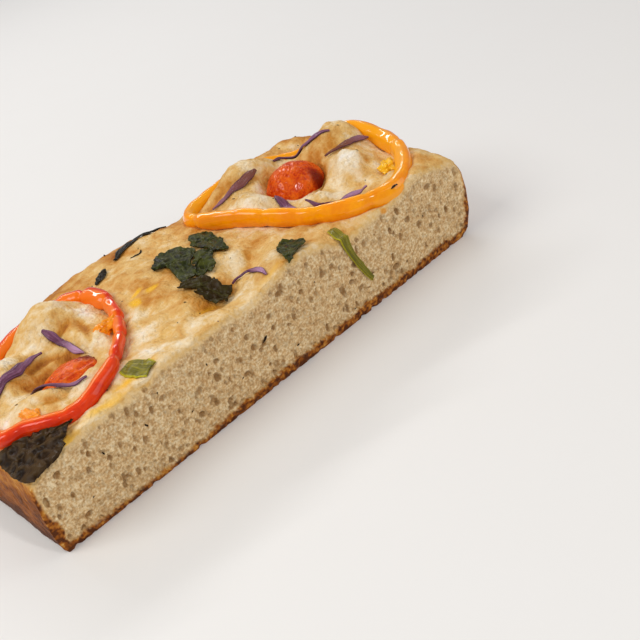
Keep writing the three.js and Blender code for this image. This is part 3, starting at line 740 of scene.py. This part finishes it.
def layRing(name, node, ring, material):
    deselectAll()
    steps, sides = band["steps"], band["sides"]
    bpy.ops.mesh.primitive_torus_add(major_segments=steps, minor_segments=sides, minor_radius=0.3)
    piece = bpy.context.object
    path = smoothPath(ring["path"], steps, closed=True)
    ahead = np.roll(path, -1, 0)[:, :2] - np.roll(path, 1, 0)[:, :2]
    out = np.column_stack([ahead[:, 1], -ahead[:, 0]]) / np.linalg.norm(ahead, axis=1)[:, None]
    height = crustHeight(path[:, 0], path[:, 1]) - path[:, 2]
    nearby = steps // 17
    level = np.mean([np.roll(height, k) for k in range(-nearby, nearby + 1)], axis=0)
    way = np.arange(steps) / steps
    level = level + ring["tall"] / 2 - ring["sunk"] + band["bedGap"]
    level = level + band["wave"] * np.sin(10 * np.pi * way)

    drapeFrom, drapeTo, drapeDeep = ring["drape"]
    level = level - drapeDeep * ease((way - drapeFrom) / 0.05) * ease((drapeTo - way) / 0.05)
    corners = np.array(band["outline"] + band["outline"][:1])
    turn = np.arange(sides) / sides * len(band["outline"])
    flats = np.column_stack([np.interp(turn, range(len(corners)), corners[:, k]) for k in (0, 1)])
    outline = 0.45 * smoothPath(band["outline"], sides, closed=True) + 0.55 * flats
    across = outline[:, 0] * ring["wall"] / 2
    up = outline[:, 1] * ring["tall"] / 2
    loop = np.column_stack([np.cos(2 * np.pi * way), np.sin(2 * np.pi * way), 0 * way])
    uneven = 1 + band["uneven"] * grain(loop * 4, 1, ring["seed"])
    swell = (band["plump"] * np.interp(way, *zip(*ring["widths"])) * uneven)[:, None]
    tilt = band["tilt"] * grain(loop * 2.5, 1, ring["seed"] + 5)[:, None]
    turnedAcross = across * swell * np.cos(tilt) + up * np.sin(tilt)
    turnedUp = up * (0.75 + 0.25 * swell) * np.cos(tilt) - across * np.sin(tilt)
    points = np.stack([
        path[:, None, 0] + out[:, None, 0] * turnedAcross,
        path[:, None, 1] + out[:, None, 1] * turnedAcross,
        level[:, None] + turnedUp,
    ], -1)

    # wilted skin: soft dents, and folds across the band
    outward = points - np.stack([path[:, 0], path[:, 1], level], -1)[:, None]
    outward /= np.linalg.norm(outward, axis=-1, keepdims=True)
    flat = points.reshape(-1, 3)
    (size, deep), (smallSize, smallDeep) = band["dents"], band["smallDents"]
    dents = deep * grain(flat, size, ring["seed"]) + smallDeep * grain(flat, smallSize, ring["seed"] + 2)
    dents = dents.reshape(steps, sides)
    for share, deep in ring["folds"]:
        away = (way - share + 0.5) % 1 - 0.5 + 0.004 * np.sin(4 * way)
        dents -= deep * np.exp(-((away / band["foldWide"]) ** 2))[:, None]
    points = points + outward * dents[..., None]
    # the cut flesh shows inside and along the inner top edge
    flesh = ease(0.5 - (outline[:, 0] + 0.1 - 0.35 * np.maximum(outline[:, 1], 0)) / 0.5)
    movePlaces(piece, points.reshape(-1, 3))
    giveValues(piece, "flesh", np.tile(flesh, steps))
    giveValues(piece, "pith", np.zeros(steps * sides))

    # fibrous tufts of pith hang on the inside
    tufts = []
    for x, y, wide, deep, tall, turn in ring["pith"]:
        deselectAll()
        bpy.ops.mesh.primitive_ico_sphere_add(subdivisions=5, radius=1)
        tuft = bpy.context.object
        ball = readPlaces(tuft)
        strings = grain(ball * (0.7, 2.4, 2.4), 0.35, x)
        ragged = 0.78 + 0.45 * grain(ball, 0.6, y) + 0.42 * np.abs(strings)
        fluff = turned(ball * ragged[:, None] * (wide, deep, tall), turn)
        movePlaces(tuft, fluff + (x, y, float(crustHeight(x, y)) + 0.6))
        giveValues(tuft, "flesh", np.ones(len(ball)))
        giveValues(tuft, "pith", np.ones(len(ball)))
        tufts.append(tuft)
    faceOutwards(piece)
    pickOnly(piece)
    for tuft in tufts:
        tuft.select_set(True)
    bpy.ops.object.join()
    return finishPiece(piece, name, node, material, 80)


def pepperFinish(name, skin, skinDeep, flesh, pith):
    finish = Finish(name, Coat_Weight=0.7, Coat_Roughness=0.04, Specular_IOR_Level=0.06)
    streaks = finish.grain(130, 700, 0.3)
    colour = finish.mix(finish.spread(streaks, 0.35, 0.65), skinDeep, skin)
    colour = finish.mix(finish.value("flesh"), colour, flesh)
    colour = finish.mix(finish.value("pith"), colour, pith)
    finish.paint(colour)
    finish.gloss(finish.spread(finish.value("flesh"), 0, 1, 0.16, 0.4))
    finish.bump(streaks, 0.15, 0.0006)
    return finish.material


tomatoes = {
    # dark: place and reach of the deep red lobe
    "tomato_left": {
        "centre": (34.2, 29.4, 24.8), "size": (11.6, 8.5, 7), "dark": (42, 31.5, 6), "fibre": 0.5,
        "seed": 2.0,
    },
    "tomato_right": {
        "centre": (145.4, 45.5, 28.8), "size": (11.3, 10, 9.4), "dark": (149.5, 36.5, 4.5), "fibre": 0.4,
        "seed": 7.0,
    },
}


def layTomato(node, tomato, material):
    deselectAll()
    bpy.ops.mesh.primitive_uv_sphere_add(segments=112, ring_count=72, radius=1)
    piece = bpy.context.object
    ball = readPlaces(piece)
    stretched = ball * (1, 1, 0.6) + 0.25 * np.column_stack([grain(ball, 0.6, k) for k in (1.0, 2.0, 3.0)])
    wrinkle = tomato["fibre"] * (0.35 - np.abs(grain(stretched, 0.16, tomato["seed"])) * 1.4)
    puckers = 0.5 * grain(ball, 0.55, tomato["seed"] + 4)
    places = np.array(tomato["centre"]) + ball * (np.array(tomato["size"]) + (wrinkle + puckers)[:, None])
    movePlaces(piece, places)
    darkX, darkY, reach = tomato["dark"]
    dark = np.exp(-((np.hypot(places[:, 0] - darkX, places[:, 1] - darkY) / reach) ** 2))
    giveValues(piece, "dark", dark)
    giveValues(piece, "ridge", ease(0.5 + wrinkle))
    faceOutwards(piece)
    return finishPiece(piece, "roasted_" + node, node, material, 80)


def tomatoFinish():
    finish = Finish("roastedTomato", Coat_Weight=0.35, Coat_Roughness=0.06, Specular_IOR_Level=0.06)
    mottle = finish.grain(260, 1300, 0.45)
    colour = finish.mix(finish.spread(mottle, 0.35, 0.62), "b82c02", "e25c06")
    colour = finish.mix(finish.spread(finish.value("ridge"), 0.55, 0.85, 0, 0.6), colour, "f08a1c")
    colour = finish.mix(finish.spread(finish.value("dark"), 0.35, 0.95), colour, "761205")
    finish.paint(colour)
    finish.gloss(finish.spread(mottle, 0.3, 0.7, 0.2, 0.4))
    finish.bump(mottle, 0.8, 0.0009)
    return finish.material


restGap = 0.7
# what a strip has unless its own entry says otherwise; widths are at its start, middle and end
usualStrip = {
    "thick": 1.2, "lift": 0, "taper": 0.35, "ridges": 4, "crumple": 0.15, "brown": 0.1, "lilac": 0.3,
}
onionStrips = {
    "onion_left_back": {
        "path": [(39, 49.5), (40, 45), (40.8, 40.5), (41.3, 36.5), (42.5, 33.5)],
        "width": (3.2, 2.6, 1.2), "lilac": 1,
    },
    "onion_left_side": {
        "path": [(10, 37.5), (17.5, 39.5), (23.5, 40.7), (29.5, 43.8), (34, 44.3)],
        "width": (3.4, 2.8, 1.4), "thick": 1.3,
    },
    "onion_left_front": {
        "path": [(20.6, 30), (22.4, 25), (25.8, 20.8), (29.8, 17.8), (33.5, 15.9)],
        "width": (3, 2.2, 1.2), "thick": 1.1, "lift": 0.4, "brown": 0.15,
    },
    "onion_middle": {
        "path": [(89, 16), (92.5, 16.3), (95, 14), (95.3, 8.5), (94.5, 3.5)],
        "width": (1.2, 2, 1.4), "lilac": 0.8,
    },
    "onion_right_back": {
        "path": [(148.6, 59.6), (154.3, 62), (158.6, 58.8), (161, 52.6), (163.4, 47.8), (166.3, 44.4)],
        "width": (1.4, 2.4, 1),
    },
    "onion_right_side": {
        "path": [(157.8, 39.3), (161.5, 38), (166, 36.7), (170.5, 36.3), (175.2, 36.4)],
        "width": (1.6, 2.8, 1.2), "lift": 0.6, "brown": 0.9,
    },
    "onion_right_left": {
        "path": [(138.6, 57.3), (134, 56.6), (128.8, 57.2), (122.5, 58.2), (117.6, 58.9)],
        "width": (2.6, 2.4, 1), "thick": 1.1, "brown": 0.7,
    },
    "onion_right_front": {
        "path": [(132.2, 41.5), (130.8, 36), (129.2, 30.5), (128.6, 26)],
        "width": (2.4, 4.2, 3), "thick": 1.1, "lilac": 0.6,
    },
    "onion_right_inner": {
        "path": [(132.8, 23.6), (133.5, 19), (136.9, 15.2), (142.2, 12.2), (149.3, 11)],
        "width": (1.4, 2.6, 1.8), "lift": 2.2, "lilac": 0.7,
    },
}
# where a place back from the cut is negative, the strip hangs that far down the cut face
greenStrips = {
    "leek_slice": {
        "path": [(43, 11.8), (44.5, 6.5), (46, 1.4)], "width": (6.5, 8, 6.5), "ridges": 5, "taper": 0.9,
    },
    "leek_strip": {
        "path": [(125.6, 7), (124, 0), (125, -6), (128, -13), (131.3, -20)],
        "width": (4.8, 3, 2.2), "thick": 1.1, "ridges": 3, "taper": 0.8,
    },
    "herb_stem_back": {
        "path": [(104.5, 72), (100, 75), (94, 76), (87, 74), (79.5, 69.2)],
        "width": (2, 3, 2.6), "thick": 0.8, "crumple": 0.35,
    },
    "herb_curl_back": {
        "path": [(73.8, 66), (70, 63.5), (66.5, 61)], "width": (2, 3.2, 2), "thick": 0.8, "crumple": 0.4,
    },
}
# slivers too thin for solids of their own
threads = {
    "onion_thread": {
        "path": [(61.7, 9.9), (65.4, 7.1), (69.9, 4.5), (71.5, 1)],
        "width": (0.5, 0.9, 0.4), "thick": 0.4, "lift": -0.75, "slot": "onion",
    },
    "herb_thread": {
        "path": [(82.9, 63.6), (84.6, 63), (86.5, 62.8), (88.8, 65.9)],
        "width": (0.4, 0.7, 0.4), "thick": 0.4, "lift": -0.4, "slot": "dried_herb",
    },
    "burnt_sliver": {
        "path": [(150.6, 1.5), (152.2, 1.3), (153, 0.3)],
        "width": (0.5, 0.9, 0.4), "thick": 0.3, "lift": 2, "slot": "dried_herb",
    },
}
stripCells = {"along": 60, "over": 12}


def layStrip(node, strip, material):
    strip = {**usualStrip, **strip}
    deselectAll()
    along, over = stripCells["along"], stripCells["over"]
    bpy.ops.mesh.primitive_grid_add(x_subdivisions=along, y_subdivisions=over, size=1)
    piece = bpy.context.object
    flat = readPlaces(piece)
    way, over = flat[:, 0] + 0.5, flat[:, 1] * 2
    path = smoothPath(strip["path"], 200)
    ahead = np.gradient(path, axis=0)
    ahead /= np.linalg.norm(ahead, axis=1)[:, None]
    steps = np.linspace(0, 1, 200)
    atX, atY = (np.interp(way, steps, path[:, k]) for k in (0, 1))
    aheadX, aheadY = (np.interp(way, steps, ahead[:, k]) for k in (0, 1))
    width = np.interp(way, (0, 0.5, 1), strip["width"])
    taper = strip["taper"]
    width = width * (taper + (1 - taper) * ease(np.minimum(way, 1 - way) * 5))
    uneven = 0.16 * grainAt(way * 8, over * 0, 1, len(node)) + 0.08 * grainAt(way * 25, over * 0, 1, 3.0)
    width = width * (1 + uneven)
    x = atX - aheadY * over * width / 2
    y = atY + aheadX * over * width / 2
    # the strip is cupped, ridged along its length and crumpled by the oven
    cup = 0.55 * strip["thick"] * (1 - over ** 2)
    ridges = 0.1 * np.cos(over * np.pi * strip["ridges"])
    crumple = strip["crumple"] * grainAt(way * 9, over * 1.2, 1, len(node) * 1.3)
    away = restGap - 0.25 + strip["lift"] + 0.25 * strip["thick"] + 0.6 * cup + ridges + crumple
    movePlaces(piece, offCrust(x, y, away))
    giveValues(piece, "rim", np.abs(over))
    giveValues(piece, "brown", np.clip(strip["brown"] * (0.6 + 0.8 * (1 - way)), 0, 1))
    giveValues(piece, "lilac", strip["lilac"] * ease((way - 0.45) / 0.4))
    applyModifier(piece, "SOLIDIFY", thickness=0.35 * strip["thick"] * mm, offset=-1)
    applyModifier(piece, "SUBSURF", levels=1, render_levels=1)
    faceOutwards(piece)
    return finishPiece(piece, "roasted_" + node, None if node in threads else node, material, 60)


def stripeFinish(name, ramp, along, rim, brown="5a3a2e", lilac=None, coat=0.12):
    # stripes that run the strip's length, read from its own UV map
    finish = Finish(name, Coat_Weight=coat, Coat_Roughness=0.12, Specular_IOR_Level=0.16)
    uv = finish.nodes.new("ShaderNodeUVMap")
    stretch = finish.nodes.new("ShaderNodeMapping")
    stretch.inputs["Scale"].default_value = along
    finish.links.new(uv.outputs["UV"], stretch.inputs["Vector"])
    stripes = finish.nodes.new("ShaderNodeTexNoise")
    stripes.inputs["Scale"].default_value = 1
    stripes.inputs["Detail"].default_value = 4
    finish.links.new(stretch.outputs["Vector"], stripes.inputs["Vector"])
    tone = finish.grain(300, 1400, 0.5)
    colour = finish.ramp(finish.sum(stripes.outputs["Fac"], finish.sum(tone, -0.5), 0.4), ramp)
    colour = finish.mix(finish.value("brown"), colour, brown)
    if lilac:
        colour = finish.mix(finish.value("lilac"), colour, lilac)
    colour = finish.mix(finish.spread(finish.value("rim"), 0.72, 0.98, 0, 0.8), colour, rim)
    finish.paint(colour)
    finish.gloss(finish.spread(tone, 0.3, 0.7, 0.32, 0.55))
    finish.bump(stripes.outputs["Fac"], 0.6, 0.0006)
    return finish.material


# what a leaf has unless its own entry says otherwise: height off the crust, depth and size of the folds,
# length of the teeth, depth of the veins and how browned it is
usualLeaf = {
    "lift": 0.2, "crumple": 0.55, "wrinkle": 2.6, "jag": 0.34, "vein": 0.12, "brown": 0.1,
    "slot": "parsley",
}
leaves = {
    "parsley_upper": {
        "outlines": [[
            (101.6, 53.9), (103.3, 51.7), (105.9, 51.5), (107, 51), (107.1, 49), (105.8, 44.3),
            (104.6, 37.6), (102, 34.7), (101.2, 30.8), (99.2, 30.5), (97.5, 31.8), (96.6, 34.1),
            (97.3, 36.8), (97.1, 39.8), (96.8, 42.4), (97.4, 47.3), (99, 48.1), (99.5, 50.8),
        ]],
    },
    "parsley_middle": {
        "outlines": [
            [
                (79.6, 45.4), (83.4, 49.2), (84, 50.7), (88.5, 54.1), (90.5, 53.2), (93.3, 51.5),
                (94.9, 50.9), (96.5, 47.1), (95.6, 41.1), (92.8, 39.2), (90.3, 37.4), (88.3, 34.7),
                (87.5, 31.4), (84.1, 28.8), (82.1, 29), (79.8, 29), (80.6, 32.4), (81.3, 36.2),
                (83.1, 40.3), (83.1, 44.7), (79.4, 43.9),
            ],
            [
                (95.1, 43.5), (95.4, 36.5), (97.4, 35), (96.2, 32), (94.4, 30.6), (92.8, 27.6), (91, 26.5),
                (88.9, 25.3), (89.5, 27.8), (86.8, 26.6), (85.2, 27.1), (84.9, 29.1), (86.7, 32),
                (88.8, 32.3), (88.8, 34.1), (91.2, 35), (92.9, 39.9),
            ],
        ],
    },
    "parsley_lower": {
        "outlines": [[
            (76.4, 27.2), (79.6, 28.7), (81.9, 28.8), (83.8, 27.2), (86, 25.7), (86.7, 23.8), (86.8, 21.1),
            (86.3, 17.5), (88.4, 15.2), (86.7, 14), (85.1, 13.7), (82.6, 11.3), (82.7, 13.1), (81.2, 13.6),
            (79.5, 13.2), (79.3, 15.4), (78.5, 17.3), (78, 19.7), (77.9, 21.3), (79.8, 21.8), (80.9, 23.7),
            (81.5, 26.5), (80.1, 27.5), (77.7, 26.3), (76.4, 26.4),
        ]],
        "crumple": 0.9, "brown": 0.8,
    },
    "parsley_small": {
        "outlines": [[
            (107.1, 12.3), (110.7, 15.9), (112.6, 16.3), (113.4, 14.9), (114.9, 14.2), (113.8, 10.3),
            (114.4, 9.7), (115.3, 9.4), (114.1, 6.5), (110.4, 2.3), (109.1, 2.7), (106.5, 1.1),
            (104.9, 0.2), (102.7, 0), (100, -1.4), (101.5, 2.1), (102.8, 5.5), (105.4, 10),
        ]],
    },
    "basil_leaf": {
        "outlines": [[
            (2.1, 16.5), (3.8, 15.7), (7.4, 13.6), (10.4, 11.6), (13.9, 9.2), (16.1, 6.3), (18.4, 4.9),
            (20.8, 4.8), (18.4, 4.2), (15.4, 1.5), (13.2, -0.2), (10.4, -1.4), (8.2, -1.6), (5.2, -1.6),
            (2.8, -1.2), (0.8, -0.1), (0.2, 3.9), (0.2, 11.1), (0.6, 14.5),
        ]],
        "lift": 0.3, "crumple": 1, "wrinkle": 3, "jag": 0.12, "vein": 0.2, "slot": "dried_herb",
    },
}
leafCells = {"around": 150, "out": 18}


def leafBlade(outline, leaf, number):
    deselectAll()
    around, outward = leafCells["around"], leafCells["out"]
    bpy.ops.mesh.primitive_grid_add(x_subdivisions=around, y_subdivisions=outward, size=1)
    piece = bpy.context.object
    flat = readPlaces(piece)
    turn, out = flat[:, 0] + 0.5, flat[:, 1] + 0.5
    corners = np.array(outline, float)
    straight = np.vstack([corners, corners[:1]])
    gone = np.concatenate([[0], np.cumsum(np.linalg.norm(np.diff(straight, axis=0), axis=1))])
    at = np.linspace(0, gone[-1], around + 1)[:-1]
    edge = np.column_stack([np.interp(at, gone, straight[:, k]) for k in (0, 1)])
    # small teeth along the edge
    tooth = leaf["jag"] * (2 * np.abs((at / 1.7) % 1 - 0.5) - 0.5)
    outwards = edge - edge.mean(0)
    edge = edge + outwards / np.linalg.norm(outwards, axis=1)[:, None] * tooth[:, None]
    edge = np.vstack([edge, edge[:1]])
    middle = edge[:-1].mean(0)
    steps = np.linspace(0, 1, len(edge))
    edgeX, edgeY = (np.interp(turn, steps, edge[:, k]) for k in (0, 1))
    x = middle[0] + (edgeX - middle[0]) * out
    y = middle[1] + (edgeY - middle[1]) * out
    folds = 0.5 - np.abs(grainAt(x, y, leaf["wrinkle"], 3.0 + number)) * 1.6 + 0.3 * grainAt(x, y, 1.1, 6.0)
    # a midrib down the blade's long way and side veins slanting off it
    spreadOut = np.cov((corners - middle).T)
    longWay = np.linalg.eigh(spreadOut)[1][:, 1]
    along = (x - middle[0]) * longWay[0] + (y - middle[1]) * longWay[1]
    aside = (y - middle[1]) * longWay[0] - (x - middle[0]) * longWay[1] + 0.5 * grainAt(x, y, 3, 12.0)
    slant = np.abs(((along - 0.8 * np.abs(aside)) / 2.1) % 1 - 0.5)
    veins = np.maximum(np.exp(-((aside / 0.28) ** 2)), 0.7 * np.exp(-((slant / 0.12) ** 2)))
    curl = 0.55 * out ** 3 * (0.6 + grainAt(x, y, 4, 9.0 + number))
    away = restGap - 0.1 + leaf["lift"] + leaf["crumple"] * (0.4 + folds) + np.maximum(curl, 0)
    movePlaces(piece, offCrust(x, y, away - leaf["vein"] * veins))
    giveValues(piece, "fold", ease(0.5 + folds))
    giveValues(piece, "vein", veins)
    giveValues(piece, "brown", np.clip(leaf["brown"] + 0.35 * grainAt(x, y, 3, 14.0), 0, 1))
    pickOnly(piece)
    bpy.ops.object.mode_set(mode="EDIT")
    bpy.ops.mesh.select_all(action="SELECT")
    bpy.ops.mesh.remove_doubles(threshold=0.00001)
    bpy.ops.mesh.normals_make_consistent(inside=False)
    bpy.ops.object.mode_set(mode="OBJECT")
    applyModifier(piece, "SOLIDIFY", thickness=0.35 * mm, offset=-1)
    return piece


def layLeaf(node, leaf, material):
    leaf = {**usualLeaf, **leaf}
    blades = [leafBlade(outline, leaf, k) for k, outline in enumerate(leaf["outlines"])]
    piece = blades[0]
    if len(blades) > 1:
        pickOnly(piece)
        for blade in blades[1:]:
            blade.select_set(True)
        bpy.ops.object.join()
    faceOutwards(piece)
    return finishPiece(piece, "roasted_" + node, node, material, 70)


# edge is the lighter colour of the veins, and also the painted highlight on the fold crests
def leafFinish(name, dark, green, edge, brown):
    finish = Finish(name, Coat_Weight=0.05, Coat_Roughness=0.12, Specular_IOR_Level=0.08)
    mottle = finish.grain(220, 1000, 0.4)
    colour = finish.mix(finish.spread(mottle, 0.36, 0.62), dark, green)
    # painted highlight: the crests of the folds are lightened
    colour = finish.mix(finish.spread(finish.value("fold"), 0.6, 1, 0, 0.4), colour, edge)
    colour = finish.mix(finish.value("brown"), colour, brown)
    colour = finish.mix(finish.spread(finish.value("vein"), 0.3, 1, 0, 0.35), colour, edge)
    finish.paint(colour)
    finish.gloss(finish.spread(mottle, 0.3, 0.7, 0.3, 0.6))
    finish.bump(mottle, 0.8, 0.0007)
    return finish.material


flecks = {
    "seed": 5,
    "onCrust": 50,
    # specks that show on the cut: x, down from the crust, length
    "onCut": [
        (84, 14, 2.6), (37, 12, 1.6), (22, 11, 1.4), (95, 27, 1.2), (62, 9, 1), (108, 12, 0.9),
        (132, 18, 1), (52, 20, 0.9), (148, 24, 1), (14, 20, 0.9), (72, 22, 0.8), (121, 26, 0.8),
        (160, 16, 0.9), (44, 6, 0.8),
    ],
}


def scatterFlecks(material):
    # crumbs of dried herb: thin crumpled chips on the crust and a few in the cut
    chance = random.Random(flecks["seed"])
    spotsOn = []
    while len(spotsOn) < flecks["onCrust"]:
        x, y = 3 + 174 * chance.random(), 2 + 78 * chance.random()
        spotsOn.append((x, y, 0.3 + 0.7 * chance.random() ** 3, False))
    spotsOn += [(x, down, size / 2, True) for x, down, size in flecks["onCut"]]
    chips = []
    for number, (x, y, size, onCut) in enumerate(spotsOn):
        deselectAll()
        bpy.ops.mesh.primitive_ico_sphere_add(subdivisions=2, radius=1)
        chip = bpy.context.object
        ball = readPlaces(chip)
        shape = ball * (1 + 0.6 * grain(ball, 0.7, number * 1.7))[:, None] * (size, 0.35 * size, 0.16)
        shape = turned(shape, math.pi * chance.random())
        if onCut:
            places = shape[:, (0, 2, 1)] + (x, -0.05, float(crustHeight(x, 0)) - y)
        else:
            places = shape + (x, y, float(skinHeight(x, y)) + 0.15)
        movePlaces(chip, places)
        for name in ("fold", "vein", "brown"):
            giveValues(chip, name, np.full(len(ball), 0.3))
        chips.append(chip)
    pickOnly(chips[0])
    for chip in chips[1:]:
        chip.select_set(True)
    bpy.ops.object.join()
    faceOutwards(chips[0])
    return finishPiece(chips[0], "herb_flecks", None, material, 60)


studio = {
    "floor": "e8e6e3",
    "floorSize": 6,
    "world": ("fafaff", 0.32),
    # softboxes: place, width, height, power, colour
    "lights": [
        ((-0.55, 0.15, 0.62), 0.45, 0.45, 3.5, "fffdf8"),
        ((0.6, -0.45, 0.36), 0.4, 0.4, 0.8, "fff8ef"),
        ((0.2, 0.6, 0.5), 0.9, 0.04, 2.2, "ffffff"),
        ((0.05, -0.76, 0.69), 0.06, 0.5, 1.9, "ffffff"),
        ((-0.25, -0.6, 0.75), 0.07, 0.07, 1.2, "ffffff"),
    ],
}


def buildStudio():
    deselectAll()
    bpy.ops.mesh.primitive_plane_add(size=studio["floorSize"])
    floor = bpy.context.object
    floor.name = "studioFloor"
    finish = Finish("studioFloorFinish", Roughness=0.8)
    tone = finish.grain(3, 40, 0.3)
    finish.paint(finish.mix(finish.spread(tone, 0.3, 0.7, 0, 0.05), studio["floor"], "d8d2c8"))
    floor.data.materials.append(finish.material)
    for place, wide, tall, power, colour in studio["lights"]:
        bpy.ops.object.light_add(type="AREA", location=place)
        light = bpy.context.object
        light.data.shape = "RECTANGLE"
        light.data.size = wide
        light.data.size_y = tall
        light.data.energy = power
        light.data.color = tint(colour)[:3]
        light.rotation_mode = "QUATERNION"
        light.rotation_quaternion = (-Vector(place)).to_track_quat("-Z", "Y")
    world = bpy.data.worlds.new("studioWorld")
    bpy.context.scene.world = world
    world.use_nodes = True
    background = world.node_tree.nodes["Background"]
    background.inputs["Color"].default_value = tint(studio["world"][0])
    background.inputs["Strength"].default_value = studio["world"][1]
    bpy.context.scene.view_settings.view_transform = "Standard"


buildStudio()
print("table and light ready")

bakeBread(breadFinish())
print("bread baked")

layRing("roasted_pepper_red", "pepper_ring_red", redRing,
        pepperFinish("redPepper", "ec4206", "d42a03", "f07208", "f4940e"))
layRing("roasted_pepper_orange", "pepper_ring_orange", orangeRing,
        pepperFinish("orangePepper", "ffa200", "f58c00", "f9a405", "f5b915"))
print("pepper rings laid")

skin = tomatoFinish()
for node, tomato in tomatoes.items():
    layTomato(node, tomato, skin)
print("tomatoes laid")

onionSkin = stripeFinish("roastedOnion", [(0.3, "42213a"), (0.5, "6e4060"), (0.7, "9c6d8e")], (2.5, 9, 1),
                         "4c2a42", "7d4a36", "bb8fb0")
for node, strip in onionStrips.items():
    layStrip(node, strip, onionSkin)
leekSkin = stripeFinish("roastedLeek", [(0.3, "4a4806"), (0.5, "76700e"), (0.7, "a1981c")], (1.5, 12, 1),
                        "c2b71c")
herbSkin = stripeFinish("driedHerbStem", [(0.3, "120f08"), (0.55, "201a0e"), (0.75, "3a301c")], (3, 8, 1),
                        "2a2212", "2a1c10", coat=0.06)
for node, strip in greenStrips.items():
    leek = node.startswith("leek")
    layStrip(node, strip, leekSkin if leek else herbSkin)
for name, strip in threads.items():
    layStrip(name, strip, onionSkin if strip["slot"] == "onion" else herbSkin)
print("onion, leek and herb strips laid")

parsleyGreen = leafFinish("roastedParsley", "17180a", "2f350e", "575a1e", "33230d")
basilDark = leafFinish("driedBasil", "170d05", "30200f", "5a4322", "33200c")
for node, leaf in leaves.items():
    layLeaf(node, leaf, basilDark if node == "basil_leaf" else parsleyGreen)
scatterFlecks(basilDark)
print("leaves laid")
